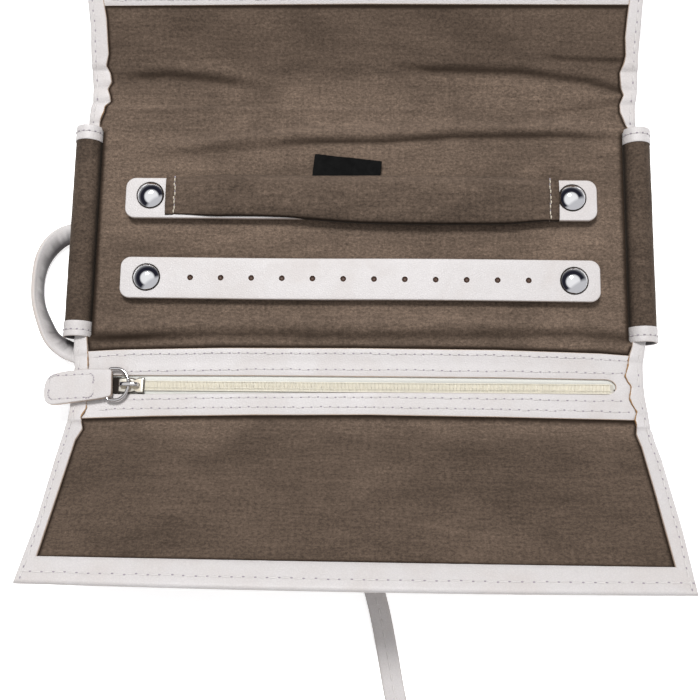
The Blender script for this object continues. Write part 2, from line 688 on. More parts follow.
left_inner = limits([(-151, 121), (-120, 120.5), (-95, 120.2), (-89, 118.6), (-83, 120.8),
                     (-79, 119), (-70, 119.5), (-60.5, 119.8), (-53.5, 120.6), (-47, 121.5),
                     (47, 121.5), (55, 121.6), (59.5, 119.9), (62.4, 119.4), (64.9, 117),
                     (67.8, 117.4), (71, 118.6), (74.1, 116.8), (78, 117.4), (81.3, 119.1),
                     (86.7, 117.8), (102.5, 117.9), (110, 118.8), (145, 120)])
left_outer = limits([(-162.1, 127.1), (-148, 126.5), (-134, 126), (-104, 126.7), (-83, 126.8),
                     (-60.5, 126.3), (-52.7, 127.4), (-46, 127.4), (50, 127), (55.6, 126.9),
                     (62.4, 126.4), (64.8, 125.6), (70.7, 125.7), (79, 126.3), (88, 126.3),
                     (98.5, 125.8), (110, 126.4), (153.7, 127)])
right_inner = limits([(-151.5, 121), (-120, 120.8), (-95, 120.3), (-88, 119.4), (-83.5, 120.6),
                      (-81, 120), (-77.5, 121.2), (-74, 119.3), (-71.4, 118.4), (-66.1, 119.5),
                      (-64, 118), (-61.6, 117), (-57.1, 118.6), (-53.1, 119.2), (-48, 121),
                      (47, 121.5), (51.9, 122.6), (56.2, 120.6), (60.5, 119), (64.1, 118.9),
                      (68.6, 120.7), (73.4, 119.5), (78.8, 119), (83.7, 120.7), (86.3, 121.1),
                      (94.5, 120.3), (103, 120.6), (110, 121), (145, 121)])
right_outer = limits([(-162.1, 127), (-134.6, 127.9), (-100, 127.5), (-91.3, 126.8), (-78.7, 126.4),
                      (-71.3, 125.4), (-63.8, 125.1), (-56.6, 125.4), (-48.5, 126.8), (-46, 127.2),
                      (50, 126.6), (56.7, 126.1), (62.4, 126.1), (65.3, 126.5), (70.6, 127.4),
                      (78, 127.5), (87.2, 127.2), (94.5, 127.2), (110, 127.5), (153.7, 127)])
SIDES = {"left": (-1, left_inner, left_outer), "right": (1, right_inner, right_outer)}


front_upper = limits([(-122, -53.2), (-106, -52.2), (-60, -50.9), (0, -50.4), (62, -50.5),
                      (107, -51.6), (122, -52.6)])
front_lower = limits([(-122, -83.2), (-112, -82.7), (-90, -81.8), (-47, -80.8), (6, -80.1),
                      (62, -80.3), (122, -80.9)])


def line_shade(distance, width=1.1, size=0.95):
    """The dark line where suede runs under an edge."""
    return size * np.exp(-(np.clip(distance, 0, 60) / width) ** 3)


def near_binding(x, s):
    return line_shade(np.where(x < 0, left_inner(s), right_inner(s)) - np.abs(x))


def base_half(s):
    return 125.6 - 5.5 * span(s, -47.5, -45.8, 51.2, 52.8)


def base_shape(x, s):
    """The folds, with the suede drawn down at its front edge and beside the rails."""
    h = folds(x, s) - 0.9 * (1 - smooth(s, -52, -48.6))
    away = 1 - np.clip(120.1 - np.abs(x), 0, 9) / 9
    inside = span(s, -47, -44, 50, 53)
    return h * (1 - inside * away) - inside * 0.5 * away ** 2


def nap_shade(x, s, *lines):
    """The lay of the nap, the folds and the dark lines together."""
    lines = np.maximum.reduce(lines)
    lay = 0.37 * smooth(s, 56, 94) + 0.31 * (1 - smooth(s, -100, -80)) - 0.05 * bell(x - 4, 6)
    shade = lay + fold_shade(x, s)
    dark = np.maximum(shade, 0)
    return np.clip(np.where(lines > 0.02, dark + lines * (1 - dark), shade), -0.3, 0.97)


def base_wear(x, s):
    gutter = line_shade(120.2 - np.abs(x), 1.9, 1.0) * span(s, -47, -45, 50, 52)
    side = near_binding(x, s) * np.maximum(smooth(s, 52, 54), 1 - smooth(s, -49, -47))
    return nap_shade(x, s, gutter, line_shade(s - front_upper(x), 1.7), side)


def top_wear(x, s):
    return nap_shade(x, s, near_binding(x, s), line_shade(107.9 - s, 1.2))


def front_wear(x, s):
    return nap_shade(x, s, near_binding(x, s), line_shade(s + 151.5, 1.1),
                     line_shade(front_lower(x) - s, 1.9, 0.97))


def front_shape(x, s):
    return uneven(x, s) * 0.7 - 0.5 * bell(s + 82.0, 1.6)


SUEDE_TOP, SUEDE_THICK = -1.0, 0.9
panel("base_suede", base_half, -52.6, BACK_SPLIT, SUEDE_TOP, SUEDE_THICK, "back_fold", "suede", "suede",
      ("base_lining", "base_padding", "top_spine_lining", "top_spine_padding"), base_shape,
      step=0.8, ends=(True, False), wear=base_wear, fine=((-52, -48),))
panel("top_panel_suede", 125.4, BACK_SPLIT, 108.4, SUEDE_TOP, SUEDE_THICK, "top_fold", "suede", "suede",
      ("top_lining",), folds, step=0.8, ends=(False, True), wear=top_wear, fine=((105.6, 108),))
panel("front_panel_suede", 125.4, -155, -79.0, SUEDE_TOP, SUEDE_THICK, "panel_fold", "suede", "suede",
      ("front_lining",), front_shape, step=0.9, wear=front_wear,
      fine=((-153, -149.8), (-84.8, -79.5)))

# The outer skins, which show from below and behind
outer_uneven = wobble(11, (0.14, 110, 70), (0.06, 34, 30))
for name, s0, s1, how, gone in (
        ("cover_front_panel", -155.0, FRONT_SPLIT, "panel_fold", ("front_cover", "front_spine_cover")),
        ("cover_front_base", FRONT_SPLIT, 0, "front_fold", ("base_cover",)),
        ("cover_back_base", 0, BACK_SPLIT, "back_fold", ("top_spine_cover",)),
        ("cover_top_panel", BACK_SPLIT, 146.6, "top_fold", ("top_cover",))):
    panel(name, lambda s: 125.6 - 5.4 * span(s, -46.4, -45.4, 51.8, 52.8), s0, s1, -4.1, 0.95, how,
          "suede", "suede", gone, lambda x, s: outer_uneven(x, s) * 0.8, step=2.4,
          ends=(name == "cover_front_panel", name == "cover_top_panel"))
for tag, s0, s1 in (("front", -154.5, -85.5), ("top", 79.5, 146.0)):
    panel(f"{tag}_stiff_board", 122, s0, s1, -3.0, 1.08, f"{tag}_panel", "board", "board",
          (f"{tag}_board",), step=6, r=0.2)


# ------------------------------------------------------------------ bindings
# Where the leather of the side bindings is drawn in or swells: the middle, half width
# and height of each pucker along s
DIPS = [(-84.6, 0.9, -0.55), (-87.2, 1.6, 0.35), (-81.6, 1.4, 0.3), (-78.4, 0.8, -0.3),
        (-66.3, 1.0, -0.22), (-61.8, 1.8, 0.32), (-55.2, 0.8, -0.35), (-52.6, 1.5, 0.25),
        (54.6, 0.9, -0.35), (57.5, 2.0, 0.3), (64.6, 0.9, -0.5), (67.6, 1.8, 0.35),
        (71.6, 0.9, -0.45), (75, 1.8, 0.4), (79.6, 0.9, -0.5), (82.6, 1.8, 0.28)]
binding_uneven = wobble(21, (0.06, 12, 26), (0.05, 9, 12))


def pucker(x, s):
    return binding_uneven(x, s) + sum(
        size * bell(s - centre + 0.05 * (np.abs(x) - 123), width) for centre, width, size in DIPS)


def c_section(w):
    """The section of a side binding w wide, as (distance outwards, height) pairs."""
    return [(0.0, -0.98), (0.0, -0.42), (0.1, -0.16), (0.36, 0.0), (w * 0.2, 0.05), (w * 0.36, 0.08),
            (w * 0.52, 0.06), (w * 0.66, 0.02), (w - 1.4, -0.02), (w - 0.8, -0.14), (w - 0.32, -0.46),
            (w - 0.06, -1.0), (w, -1.7), (w, -3.0), (w, -4.3), (w - 0.06, -5.0), (w - 0.32, -5.55),
            (w - 0.8, -5.88), (w - 1.4, -6.0), (w * 0.6, -6.0), (w * 0.25, -6.0), (0.3, -5.95),
            (0.0, -5.7), (0.0, -5.1)]


def thin_section(w):
    """The section at a panel's free end, where the board stops and the edge is thin."""
    return c_section(w)[:11] + [
        (w - 0.05, -0.85), (w, -1.2), (w, -1.55), (w, -1.9), (w - 0.08, -2.15), (w - 0.35, -2.45),
        (w - 0.9, -2.7), (w - 2.0, -3.2), (w * 0.6, -4.7), (w * 0.25, -5.7), (0.3, -5.95), (0.0, -5.7),
        (0.0, -5.1)]


def side_binding(side, tag, s0, s1, how, gone, mitre):
    """A binding folded round a side edge. At a free end it gets thin, and its mitre runs
    from its inner corner to its outer one; mitre is that corner and where it starts."""
    sign, inner, outer = SIDES[side]
    ss = knots(s0, s1, 0.7)
    end, rings = abs(s1), []
    for s in ss:
        w = float(outer(s) - inner(s))
        thin = 1 - 0.74 * float(smooth(abs(s), end - 11, end - 1)) if mitre else 1
        ring = []
        for a, h in c_section(w):
            along = s
            if h < -1:
                h = -1 + (h + 1) * thin
            if mitre and abs(s) > mitre[1]:
                corner, start = mitre
                k = (abs(s) - start) / (end - start)
                reach = corner + (end - corner) * min(1, a / w)
                along = math.copysign(start + (reach - start) * k, s1)
            x = sign * (float(inner(s)) + a)
            lift = float(pucker(x, s)) * (1 if h > -3 else -0.4) * (1 - 0.3 * a / w)
            ring.append((x, along, h + lift * (0.4 if h < -0.9 and a < 0.2 else 1)))
        rings.append(ring)
    flat = np.array(rings)
    strong = np.where((side == "right") & (-84 < ss) & (ss < -52), 0.9, 0.55)
    crease = sum(min(0.3, -0.45 * size) * bell(ss - centre, width * 0.75)
                 for centre, width, size in DIPS if size < 0)
    raw, wear = np.zeros(flat.shape[:2]), np.zeros(flat.shape[:2])
    raw[:, :3] = strong[:, None] * (1, 1, 0.7)
    raw[:, 12:14] = 0.12
    wear[:, :12] = crease[:, None] * (1 - 0.05 * np.arange(12))
    obj = sweep(f"{side}_binding_{tag}", on_case(flat), "leather", flat=flat, raw=raw, wear=wear)
    carry(obj, how, "cream_leather", *gone)


PIECES = [("front_fold", -45.5, FRONT_SPLIT, "front_fold",
           ("base_corner_bindings", "front_spine_bindings"), None),
          ("front_panel", FRONT_SPLIT, FRONT_EDGE, "panel_fold", ("front_binding",), (151.6, 148)),
          ("back_fold", 50.5, BACK_SPLIT, "back_fold", ("top_spine_bindings",), None),
          ("top_panel", BACK_SPLIT, TOP_EDGE, "top_fold", ("top_binding",), (143.0, 139))]
for side, (sign, inner, outer) in SIDES.items():
    for tag, s0, s1, how, gone, mitre in PIECES:
        side_binding(side, tag, s0, s1, how, gone, mitre)
        lo, hi = min(s0, s1) + 1.2, max(s0, s1) - (4 if mitre else 1.2)
        if s1 > 0:
            lo, hi = max(lo, 54.5), max(s0, s1) - (4 if mitre else 0.4)
        ss = np.linspace(hi, lo, 80)
        row(f"{side}_stitches_{tag}", np.stack([sign * (outer(ss) - 2.4), ss], -1), pucker, 4.5, how)


def raw_line(name, side, s0, s1, how, width):
    """The brown cut edge of the leather where it stands a little proud of the binding."""
    sign, inner, _ = SIDES[side]
    r = np.random.default_rng(len(name))
    rings = []
    for s in knots(s0, s1, 0.6):
        fade = min(1, 0.35 + 0.5 * min(abs(s - s0), abs(s1 - s)))
        half = width * fade * r.uniform(0.35, 1.1)
        x, h = sign * (float(inner(s)) - 0.02), 0.02 + float(pucker(sign * inner(s), s))
        rings.append([(x + half * math.cos(a), s, h - 0.14 + 0.3 * math.sin(a)) for a in turns(10)])
    carry(sweep(name, on_case(rings), "edge"), how, "cream_leather")


raw_line("right_raw_edge_spine", "right", -52.4, FRONT_SPLIT, "front_fold", 0.42)
raw_line("right_raw_edge_panel", "right", FRONT_SPLIT, -83.0, "panel_fold", 0.42)
raw_line("left_raw_edge_spine", "left", -53.2, -60.5, "front_fold", 0.30)
raw_line("left_raw_edge_panel", "left", -77.6, -83.2, "panel_fold", 0.45)
raw_line("left_raw_edge_back", "left", 56, 63.6, "back_fold", 0.22)


def end_binding(name, s_in, s_out, how):
    """A binding along a free edge, mitred into the side bindings."""
    d = 1 if s_out > s_in else -1
    inner_half, outer_half, start = 121, 127.0, 112
    rings = []
    for x in knots(-inner_half, inner_half, 2.0):
        bow = 1 - (x / inner_half) ** 2
        si, so = s_in + d * 0.25 * bow, s_out + d * bow
        w = abs(so - si)
        k = max(0, (abs(x) - start) / (inner_half - start))
        ring = []
        for a, h in thin_section(w):
            half = inner_half + (outer_half - inner_half) * min(1, a / w)
            px = math.copysign(start + (half - start) * k, x) if k > 0 else x
            ring.append((px, si + d * a, h + float(binding_uneven(px, si + d * a))))
        rings.append(ring)
    flat = np.array(rings)
    raw = np.zeros(flat.shape[:2])
    raw[:, :2], raw[:, 15:18] = 0.35, 0.8
    carry(sweep(name, on_case(flat), "leather", flat=flat, raw=raw), how, "cream_leather")
    xs = np.linspace(-126, 126, 60)
    line = np.stack([xs, s_out - d * (4.2 - 1.0 * (1 - (xs / 124) ** 2))], -1)
    row(name + "_stitches", line, binding_uneven, 4.5, how)


end_binding("end_binding_front", -151.3, FRONT_EDGE, "front_panel")
end_binding("end_binding_top", 142.8, TOP_EDGE, "top_panel")


# ------------------------------------------------------------------ zip strips
FRONT_ZIP, TOP_ZIP = -68.0, 122.8
STRIP_HALF, WINDOW_HALF, WINDOW_END, STRIP_TOP = 122.5, 4.5, 113, -0.72


def front_over(s):
    """The strip climbs onto the suede of the base at its upper edge."""
    return 0.78 * smooth(s, -56.5, -52.2)


def strip_height(x, s):
    return STRIP_TOP + front_over(s) * (s < 0)


def zip_strip(name, centre, upper, lower, how, gone, window=None):
    """The leather strip with its long window; upper and lower are the lines of its edges,
    and window the lines of the window's, where they aren't straight."""
    way = 1 if upper(0.0) > lower(0.0) else -1
    straight = WINDOW_END - WINDOW_HALF
    across = np.linspace(-straight, straight, 200)
    arc = np.linspace(np.pi / 2, -np.pi / 2, 22)[1:-1]
    share = np.arange(1, 21) / 21
    inner, outer = [], []
    for side, near, far in ((1, upper, lower), (-1, lower, upper)):
        wide, end = side * across * STRIP_HALF / straight, side * STRIP_HALF
        up = way * side * WINDOW_HALF
        turned = side * (straight + WINDOW_HALF * np.cos(arc))
        inner += [np.stack([side * across, centre + up + 0 * across], -1),
                  np.stack([turned, centre + up * np.sin(arc)], -1)]
        outer += [np.stack([wide, near(wide)], -1),
                  np.stack([end + 0 * share, near(end) * (1 - share) + far(end) * share], -1)]
    inner, outer = np.concatenate(inner), np.concatenate(outer)
    if window:
        high, low = (line(inner[:, 0]) for line in window)
        inner[:, 1] = low + (high - low) * ((inner[:, 1] - centre) / WINDOW_HALF / 2 + 0.5)
    length = np.linalg.norm(outer - inner, axis=1)[:, None]
    ds = np.array([0.0, 0.03, 0.12, 0.26, 0.42])
    rim = [np.minimum(d / length, 0.4) for d in ds]
    middle = [0.42 / length + (1 - 0.84 / length) * t for t in (0.2, 0.4, 0.6, 0.8)]
    shares = rim + middle + [1 - d for d in rim[::-1]]
    grid = np.stack([inner + (outer - inner) * t for t in shares], 1)
    edge = np.concatenate([ds, np.full(4, 5.0), ds[::-1]])[None, :]
    x, s = grid[..., 0], grid[..., 1]
    level = strip_height(x, s)
    h = level + wobble(31, (0.05, 40, 12))(x, s) - drop(edge, 0.42) * 0.9 - 0.16 * bell(edge, 1.2)
    raw_window = np.where((s - centre) * way > 0, 0.45, 0.06)
    raw = np.where(edge < 0.3, np.where(np.arange(14) < 5, raw_window, 0.5), 0.0)
    carry(slab(name, x, s, h, level - 0.9, "leather", wrap=True, raw=raw), how, "cream_leather", gone)


window_upper = limits([(-113, -63.9), (-92, -63.7), (-47, -63.3), (6, -63.1), (62, -62.9),
                       (113, -63.2)])
window_lower = limits([(-113, -72.3), (-92, -72.1), (-47, -71.1), (6, -70.1), (62, -69.8),
                       (113, -69.8)])
zip_strip("front_zip_strip_leather", FRONT_ZIP, front_upper, front_lower, "front_fold",
          "front_zip_strip", (window_upper, window_lower))
zip_strip("top_zip_strip_leather", TOP_ZIP, limits([(-122, 107.8), (0, 108.7), (122, 108.5)]),
          limits([(-122, 143.6), (0, 144), (122, 143.6)]), "top_panel", "top_zip_strip")


def beside(line, away, x0, x1):
    """A line of stitches that follows an edge of the strip."""
    xs = np.linspace(x0, x1, 50)
    return np.stack([xs, line(xs) + away], -1)


for name, path, pitch, body in (
        ("front_strip_row_upper", beside(front_upper, -2.4, -119, 119), 3.9, "front_fold"),
        ("front_strip_row_second",
         [(-104, -62.1), (-48, -60.4), (19, -59.9), (85, -60.1), (116, -60.3)], 3.9, "front_spine"),
        ("front_strip_row_third",
         [(-102, -74.7), (-47, -73.1), (19, -72.2), (84, -72.5), (115, -72.7)], 3.9, "front_spine"),
        ("front_strip_row_lower", beside(front_lower, 3.4, -114, 118), 3.9, "front_spine"),
        ("top_strip_row_lower", [(-116, 110.4), (0, 111.1), (116, 110.9)], 3.7, "top_panel"),
        ("top_strip_row_second", [(-112, 116.4), (0, 116.4), (112, 116.4)], 3.7, "top_panel"),
        ("top_strip_row_third", [(-112, 129.2), (0, 129.2), (112, 129.2)], 3.7, "top_panel"),
        ("top_strip_row_upper", [(-116, 141), (0, 141.6), (116, 141)], 3.7, "top_panel")):
    row(name, path, strip_height, pitch, body)


# ------------------------------------------------------------------ zips
# A turn of the coil, from its hook on one side over to its back on the other: the
# distance from the middle and the share of its thickness
TURN = [(2.35, 0.25), (2.3, 0.72), (1.95, 0.95), (1.1, 1.0), (0.0, 1.0), (-1.3, 0.95), (-2.1, 0.8),
        (-2.3, 0.3)]


def zip_parts(tag, centre, body):
    def middle(x):
        """The line of the zip: the front one lies a little aslant in its window."""
        return FRONT_ZIP + 0.15 + 0.004 * x if tag == "front" else TOP_ZIP + 0 * x

    def tape_wear(x, s):
        return 0.4 * bell(np.abs(np.abs(s - middle(x)) - 2.55), 0.3)
    for k, (a, b) in enumerate(((0.6, 7.6), (-7.6, -0.6))):
        panel(f"{tag}_tape_{k}", 121, centre + a, centre + b, -1.98, 0.5, body, "zip_tape", "tape",
              (f"{tag}_zip_tapes",), step=1.2, r=0.15, wear=tape_wear)
    angle = turns(6)
    idx, ring = ring_grid(len(TURN), 6)
    tube, caps = quads(ring), np.array([idx[0][::-1], idx[-1]])
    verts, walls, ends = [], [], []
    r = np.random.default_rng(5)
    for k, x in enumerate(np.arange(-111.6, 111.6, 0.6)):
        side, j = 1 - 2 * (k % 2), r.normal(0, 0.02, 2)
        verts.append([(x + j[0] + math.cos(a) * 0.29 * g, middle(x) + side * (d + j[1]),
                       -2.0 + 0.08 * side * (d > 0) + math.sin(a) * 0.92 * g)
                      for d, g in TURN for a in angle])
        walls.append(tube[:, ::side] + idx.size * k)
        ends.append(caps[:, ::side] + idx.size * k)
    coil = build(f"{tag}_coil", on_case(verts).reshape(-1, 3),
                 [np.concatenate(walls), np.concatenate(ends)], "coil", sharp=0)
    carry(coil, body, "zip_coil", f"{tag}_zip_teeth")
    for k, (away, thick) in enumerate(((2.0, 0.2), (-0.75, 0.13), (-2.0, 0.2))):
        rings = [[(x, middle(x) + away + thick * math.cos(a),
                   -1.1 + 0.05 * math.sin(x * 5.236) + thick * math.sin(a)) for a in angle]
                 for x in np.arange(-111.8, 111.9, 0.6)]
        carry(sweep(f"{tag}_coil_thread_{k}", on_case(rings), "coil"), body, "zip_coil")


zip_parts("front", FRONT_ZIP, "front_spine")
zip_parts("top", TOP_ZIP, "top_panel")


# ------------------------------------------------------------------ plates with rounded edges
def rounded_outline(w, l, r, n=8, centre=(0, 0)):
    pts = []
    for sx, sy, a0 in ((1, 1, 0), (-1, 1, 90), (-1, -1, 180), (1, -1, 270)):
        for a in np.radians(np.linspace(a0, a0 + 90, n)):
            pts.append((centre[0] + sx * (w / 2 - r) + r * math.cos(a),
                        centre[1] + sy * (l / 2 - r) + r * math.sin(a)))
    return np.array(pts)


def refine(outline, step):
    """Adds points along an outline so that none is further than step from the next."""
    out = []
    for a, b in zip(outline, np.roll(outline, -1, 0)):
        n = max(1, int(np.linalg.norm(b - a) / step))
        out += [a + (b - a) * t for t in np.linspace(0, 1, n, endpoint=False)]
    return np.array(out)


def raised(points, z):
    """Points of a plane at one height."""
    return np.column_stack([points, np.full(len(points), z)])


def onwards(points):
    """The direction at each point of a closed line."""
    return np.roll(points, -1, 0) - np.roll(points, 1, 0)


def plate(name, outline, low, high, r, mat, place=None, crown=None, step=2.0, raw_edge=0.0,
          inner=4):
    """A plate with rounded edges from a convex outline; place maps (x, y, z) to the row
    frame, and crown raises its top."""
    o = refine(np.asarray(outline, float), step)
    tangent = unit(onwards(o))
    normal = np.stack([tangent[:, 1], -tangent[:, 0]], -1)
    centre = o.mean(0)
    if np.einsum("ij,ij->i", normal, o - centre).sum() < 0:
        normal = -normal
    rings = [(o - normal * d, drop(d, r)) for d in (0.0, 0.06 * r, 0.22 * r, 0.5 * r, 0.78 * r, r)]
    flat_part = rings[-1][0]
    rings += [(centre + (flat_part - centre) * (1 - k / (inner + 0.6)), 0.0)
              for k in range(1, inner + 1)]
    top = [raised(p, high - fall) for p, fall in rings]
    if crown:
        for p in top:
            p[:, 2] += crown(p[:, 0], p[:, 1])
    grid = np.array(top[::-1] + [raised(p, low + fall) for p, fall in rings])
    raw = np.zeros(grid.shape[:2])
    edge = len(top) - 1
    raw[edge - 1:edge + 3] = raw_edge
    raw[edge - 2] = raw_edge * 0.4
    if place:
        grid = place(grid.reshape(-1, 3)).reshape(grid.shape)
    return sweep(name, grid, mat, raw=raw)


# ------------------------------------------------------------------ ring bar and earring strap
STRAP_LOW, STRAP_HIGH = CREASE_Z + 1.4, CREASE_Z + 3.4
BAR_Y, STRAP_Y = 17.2, -19.8
HOLE_X = [-75.35 + 13.7 * k for k in range(12)]
bar_strip = plate("ring_bar_leather", rounded_outline(213, 18.8, 4.5), STRAP_LOW, STRAP_HIGH, 0.55,
                  "leather_own", place=lambda p: p + (0, BAR_Y, 0), raw_edge=0.3)
carry(bar_strip, "ring_bar", "cream_leather", "ring_bar_strip")
strap_outline = refine(rounded_outline(214, 18.8, 4.5), 3.0)
xs = strap_outline[:, 0]
strap_outline[:, 1] += 0.35 * np.sin(xs / 40) * (1 - np.abs(xs) / 107)
strap = plate("earring_strap_leather", strap_outline, STRAP_LOW, STRAP_HIGH, 0.55, "leather_own",
              place=lambda p: p + (0, STRAP_Y, 0), raw_edge=0.3, inner=5)


def bore(obj, places, radius):
    """Bores upright holes through a piece."""
    bm = bmesh.new()
    for x, y in places:
        bmesh.ops.create_cone(bm, cap_ends=True, segments=24, radius1=radius * MM, radius2=radius * MM,
                              depth=0.02, matrix=Matrix.Translation((x * MM, y * MM, 0.0118)))
    mesh = bpy.data.meshes.new("cutters")
    bm.to_mesh(mesh)
    bm.free()
    cutter = link("cutters", mesh)
    cut = obj.modifiers.new("holes", "BOOLEAN")
    cut.object, cut.operation, cut.solver = cutter, "DIFFERENCE", "EXACT"
    bpy.context.view_layer.update()
    depsgraph = bpy.context.evaluated_depsgraph_get()
    bored = bpy.data.meshes.new_from_object(obj.evaluated_get(depsgraph))
    obj.modifiers.clear()
    obj.data = bored
    bpy.data.objects.remove(cutter)


bore(strap, [(x, STRAP_Y) for x in HOLE_X], 1.2)
carry(strap, "earring_strap", "cream_leather", "earring_strap")
RIM = [(1.36, 3.38), (1.2, 3.44), (1.0, 3.2), (0.92, 2.2), (0.98, 1.5), (1.14, 1.44), (1.22, 1.5)]
for k, x in enumerate(HOLE_X):
    rim = lathe(f"earring_hole_{k}", RIM, (x, STRAP_Y, CREASE_Z), "hole_wall", 24)
    carry(rim, "earring_strap", "cream_leather")

DOME = [(0.02, 2.52), (1.0, 2.46), (2.0, 2.285), (3.0, 1.98), (4.0, 1.533), (4.8, 1.06),
        (5.4, 0.613), (5.72, 0.34), (5.84, 0.2), (5.84, -0.1), (5.2, -0.22), (0.02, -0.22)]
CAP_GAP = [(5.2, 0.0), (6.24, 0.0), (6.3, 0.2), (6.15, 0.5), (5.9, 0.56), (5.2, 0.3)]
for body, y in (("ring_bar", BAR_Y + 1.1), ("earring_strap", STRAP_Y)):
    for side, x in (("left", -95.1), ("right", 95.4)):
        cap = lathe(f"{body}_cap_{side}", DOME, (x, y, STRAP_HIGH + 0.22), "chrome", 72)
        carry(cap, body, "chrome", f"{body}_caps")
        gap = lathe(f"{body}_cap_gap_{side}", CAP_GAP, (x, y, STRAP_HIGH), "dark", 48)
        carry(gap, body, "cream_leather")


# ------------------------------------------------------------------ the padded sleeve of the ring bar
SLEEVE_MIDDLE, SEAM_AT = 0.8, 84.8


def sleeve_ring(x):
    """The sleeve's section at x: swollen in the middle, with a seam and a hem at its end."""
    away = abs(x - SLEEVE_MIDDLE)
    swell = float(1 - smooth(away, 62, 85))
    hem = float(smooth(away, 84.5, 85.2))
    seam = bell(away - SEAM_AT, 0.55)
    half = 9.55 + 1.25 * swell + 0.2 * math.sin(x / 17) * swell + 0.15 * hem - 0.15 * seam
    high = 0.9 + 2.9 * swell ** 0.8 + 0.25 * hem - 0.55 * seam
    low = STRAP_HIGH + 0.15
    lean = np.interp(x, (-88, -60, -45, -33, -15, 0), (1.5, 2.3, 2.2, 1.8, 0.6, 0))
    pts = []
    for t in turns(44):
        c, s = math.cos(t), math.sin(t)
        y = half * squarish(c, 0.72)
        if s >= 0:
            z = low + high * s ** 0.8
            z += 0.22 * swell * math.sin(x / 9.5 + 2.2 * t) * math.sin(x / 23 + 1) * s
            z += 0.225 * (1 - swell) * bell(away - 79, 3.0) * math.sin(y * 1.15) * s
        else:
            z = low - (low - STRAP_LOW + 0.7) * abs(s) ** 0.35
        y -= 0.7 * swell * smooth(x, -60, 40) * (1 if c < 0 else 0.3)
        pts.append((x, BAR_Y + y + lean * smooth(-c, 0.0, 0.8), z))
    return pts


near_seam = [SLEEVE_MIDDLE + s * (SEAM_AT + d) for s in (-1, 1)
             for d in (-1.2, -0.8, -0.5, -0.25, 0, 0.25, 0.5, 0.9)]
sleeve_x = np.concatenate([np.linspace(-88, 89.4, 110), near_seam])
sleeve_x = np.array(sorted(set(np.round(sleeve_x, 3))))
turn_shade = 0.92 * smooth(-np.cos(turns(44)), 0.90, 0.995) - 0.16 * bell(turns(44) - 0.75, 0.22)
hem_shade = 0.4 * bell(np.abs(sleeve_x - SLEEVE_MIDDLE) - 88.4, 1.6)
sleeve = sweep("ring_bar_sleeve_suede", np.array([sleeve_ring(x) for x in sleeve_x]), "suede_bar",
               wear=np.clip(turn_shade + hem_shade[:, None], -0.3, 0.95))
carry(sleeve, "ring_bar", "suede", "ring_bar_sleeve", "ring_bar_padding")
for side, x in (("left", -84.0), ("right", 85.6)):
    ring = np.array(sleeve_ring(x))
    top = ring[ring[:, 2] > STRAP_HIGH + 0.25]
    top = top[np.argsort(top[:, 1])]
    ys = np.linspace(top[0, 1] + 0.9, top[-1, 1] - 0.9, 8) + (0.2, -0.3, 0.25, 0, -0.25, 0.3, -0.1, 0.1)
    pts = np.stack([x + 0.25 * np.sin(ys * 2.1), ys, np.interp(ys, top[:, 1], top[:, 2]) + 0.02], -1)
    stitches(f"ring_bar_seam_{side}", pts, np.tile([0, 0, 1.0], (8, 1)), np.tile([0, 1.0, 0], (8, 1)),
             "ring_bar", length=1.7, mat="thread_pale", rise=0.35)


# ------------------------------------------------------------------ side rails
RAIL_X, RAIL_Z = 126.65, 5.9
# A cuff, 7 mm long and rolled in at its outer end: the distance from its inner end and
# the radius
CUFF = [(0.35, 5.9), (0.08, 6.22), (0, 6.3), (0.12, 6.42), (0.5, 6.5), (1.6, 6.5), (2.5, 6.44),
        (3.4, 6.36), (4.0, 6.34), (4.6, 6.40), (5.4, 6.5), (6.5, 6.52), (6.84, 6.46), (7, 6.3),
        (7.02, 6.0), (6.9, 5.6), (6.5, 5.35), (4.8, 5.25), (4.6, 4.0), (4.55, 0.05)]


def rail_rings(x0, profile, low, n, bumpy=None, notch=None):
    """Rings of a tube along Y whose bottom is flattened at low and, over the tie, at
    notch; profile is (y, radius) pairs."""
    rings = []
    for y, radius in profile:
        bottom = max(low, notch * float(span(y, -5.5, -2.5, 10.5, 13.5))) if notch else low
        ring = []
        for t in turns(n):
            q = radius + (float(bumpy(t * 3, y)) if bumpy else 0)
            ring.append((x0 + q * math.cos(t), y, max(RAIL_Z + q * math.sin(t), bottom)))
        rings.append(ring)
    return np.array(rings)


for side, sign in (("left", -1), ("right", 1)):
    x0 = sign * RAIL_X
    tube = [(-44, 3.0), (-44, 5.6), *((y, 6.15) for y in np.linspace(-44, 50.5, 80)), (50.5, 5.6),
            (50.5, 3.0)]
    rings = rail_rings(x0, tube, 0.02, 40, wobble(4 + sign, (0.10, 7, 34), (0.05, 4, 11)),
                       4.35 if side == "left" else None)
    inward = np.arctan2(rings[..., 2] - RAIL_Z, -sign * (rings[..., 0] - x0))
    rail = sweep(f"{side}_rail_suede", rings, "suede_rail",
                 wear=line_shade(np.abs(inward - 0.1), 0.42, 0.9) + 0.16 * bell(inward - 2.2, 0.5))
    carry(rail, "base", "suede", f"{side}_rail_sleeve", f"{side}_rail_core")
    for tag, start, d in (("front", -39.5, -1), ("back", 45.5, 1)):
        rings = rail_rings(x0, [(start + d * along, radius) for along, radius in CUFF], 0.0, 56)
        raw, wear = np.zeros(rings.shape[:2]), np.zeros(rings.shape[:2])
        raw[13:15], wear[15:] = 0.3, 0.95
        cuff = sweep(f"{side}_cuff_{tag}", rings, "leather_own", raw=raw, wear=wear)
        carry(cuff, "base", "cream_leather", f"{side}_rail_cuffs")
        a = np.radians(np.arange(-8, 200, 24))
        out = np.stack([np.cos(a), 0 * a, np.sin(a)], -1)
        stitches(f"{side}_cuff_{tag}_stitches", out * 6.36 + (x0, start + d * 4.0, RAIL_Z), out,
                 np.stack([-np.sin(a), 0 * a, np.cos(a)], -1), "base", length=2.0, width=0.4, rise=0.15)


